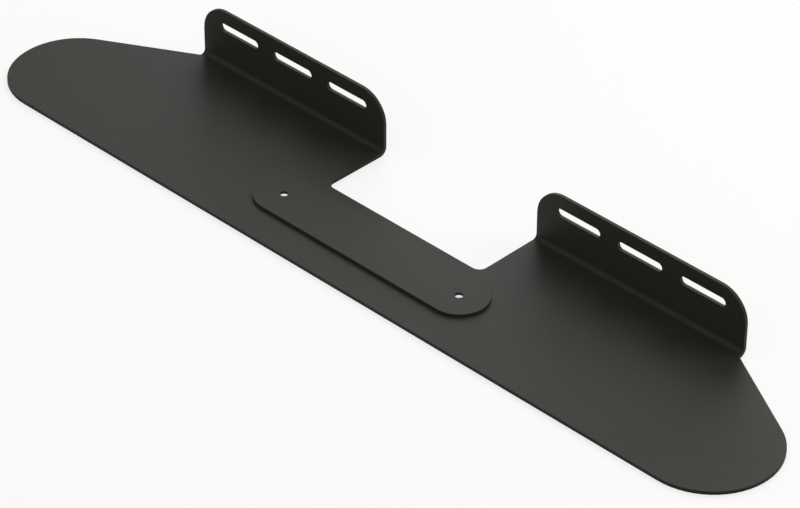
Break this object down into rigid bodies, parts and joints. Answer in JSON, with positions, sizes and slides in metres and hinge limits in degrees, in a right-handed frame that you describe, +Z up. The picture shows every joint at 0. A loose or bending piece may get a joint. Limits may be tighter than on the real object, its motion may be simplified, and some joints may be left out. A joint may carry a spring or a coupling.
{
  "type": "soundbar bracket",
  "caption": "Long round-ended steel shelf plate with slotted upright flanges for a wall and a raised strip with screw holes that carries a soundbar.",
  "frame": {"origin": "on the plate's underside, in the middle of its length and depth", "axes": "+X along the wall, +Y towards the wall, +Z up, the way the flanges stand"},
  "size_m": [0.64, 0.1264, 0.043],
  "materials": {
    "black_powder_coat": "satin black powder coat on steel"
  },
  "bodies": {
    "root": {"bracket_plate": "black_powder_coat", "spacer_strip": "black_powder_coat"}
  },
  "joints": []
}
